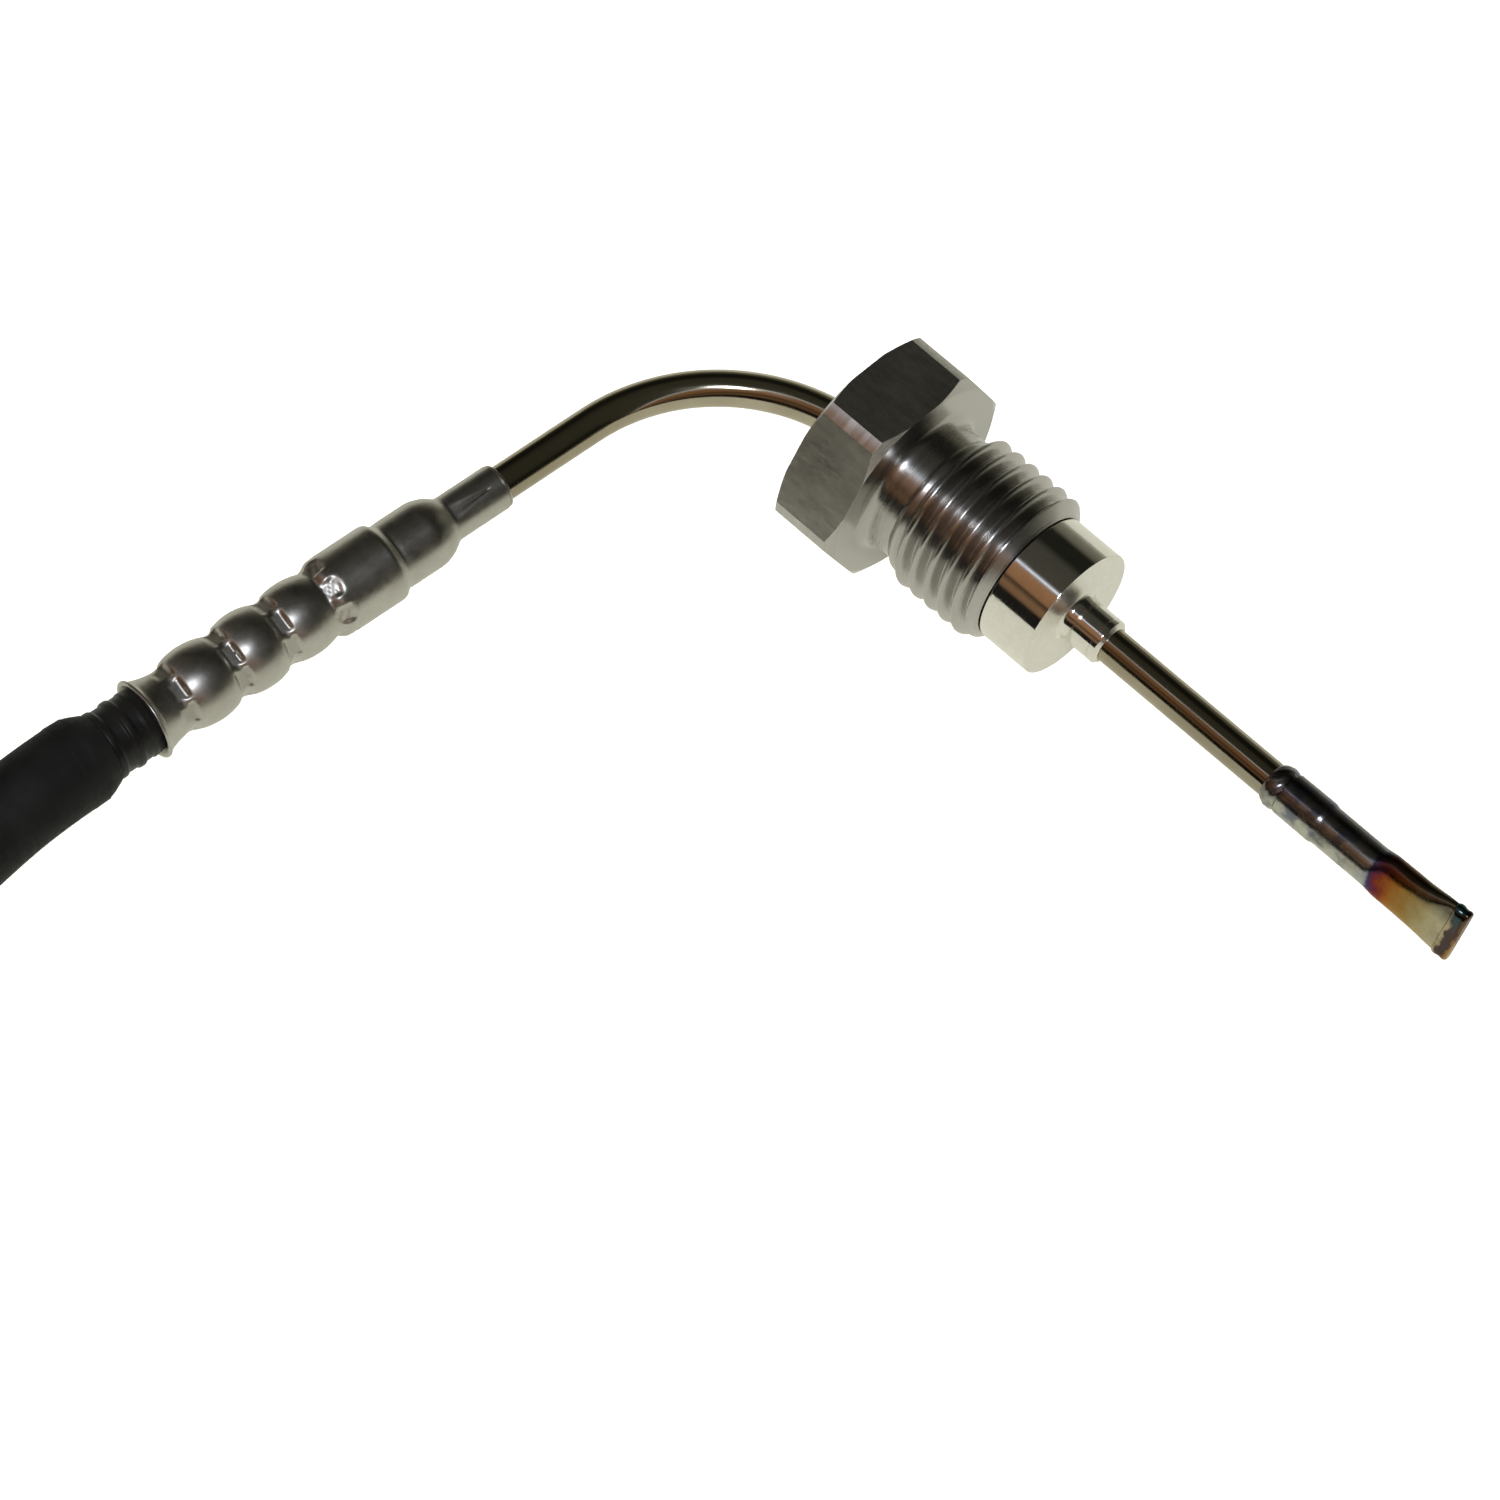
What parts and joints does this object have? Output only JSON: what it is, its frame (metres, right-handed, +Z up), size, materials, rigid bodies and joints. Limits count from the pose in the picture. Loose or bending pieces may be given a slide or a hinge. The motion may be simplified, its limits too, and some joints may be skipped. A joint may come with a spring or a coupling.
{
  "type": "temperature sensor probe",
  "caption": "Bent metal-sheathed temperature probe with a pinched tip, a captive threaded hex nut, a seal collar, a crimped sleeve and a hose-covered lead with a sealed plug.",
  "frame": {"origin": "centre of the seal collar's front face, on the probe's axis", "axes": "+X along the probe towards its tip, +Z up as it lies on a table with a flat of the nut down, tail bent towards -Y"},
  "size_m": [0.1647, 0.1478, 0.0176],
  "materials": {
    "nut_steel": "satin, fine lengthwise grain",
    "polished_steel": "turned and polished",
    "sheath_steel": "polished, with a bronze heat tint",
    "insulation": "compacted powder",
    "conductor": "drawn wire",
    "tinted_steel": "heat tinted, blue to straw",
    "ceramic": "sintered",
    "sleeve_steel": "satin, crimped",
    "seal_glass": "fused",
    "wire_white": "smooth",
    "wire_grey": "smooth",
    "black_rubber": "semi-gloss",
    "hose_black": "matt",
    "plug_black": "moulded, fine texture",
    "terminal": "tinned",
    "seal_rubber": "smooth silicone",
    "lock_plastic": "moulded"
  },
  "bodies": {
    "probe": {"seal_collar": "polished_steel", "probe_sheath": "sheath_steel", "sheath_insulation": "insulation", "conductor_a": "conductor", "conductor_b": "conductor", "tip_weld": "tinted_steel", "tip_sleeve": "tinted_steel", "end_weld": "tinted_steel", "sensing_element": "ceramic", "element_cement": "insulation", "transition_sleeve": "sleeve_steel", "cold_end_seal": "seal_glass", "splice_spacer": "ceramic", "splice_ferrule_a": "conductor", "splice_ferrule_b": "conductor", "lead_wire_a": "wire_white", "lead_wire_b": "wire_grey", "seal_grommet": "black_rubber", "hose_front": "hose_black", "hose_coil": "hose_black", "hose_rear": "hose_black", "plug_boot": "plug_black", "plug_housing": "plug_black", "plug_terminal_a": "terminal", "plug_terminal_b": "terminal", "plug_wire_seal_a": "seal_rubber", "plug_wire_seal_b": "seal_rubber", "plug_lead_a": "wire_white", "plug_lead_b": "wire_grey", "nose_seal": "seal_rubber"},
    "nut": {"coupling_nut": "nut_steel"},
    "lock": {"secondary_lock": "lock_plastic"},
    "latch": {"plug_latch": "plug_black"}
  },
  "joints": [
    {"name": "nut_spin", "type": "hinge", "parent": "probe", "child": "nut", "pos_m": [-0.014, 0, 0], "axis": [1, 0, 0], "continuous": true},
    {"name": "lock_slide", "type": "slide", "parent": "probe", "child": "lock", "axis": [1, 0, 0], "range_m": [0, 0.0025]},
    {"name": "latch_press", "type": "hinge", "parent": "probe", "child": "latch", "pos_m": [-0.117, -0.0335, 0.0039], "axis": [1, 0, 0], "range_deg": [0, 5], "stiffness_Nm_per_rad": 0.2}
  ]
}
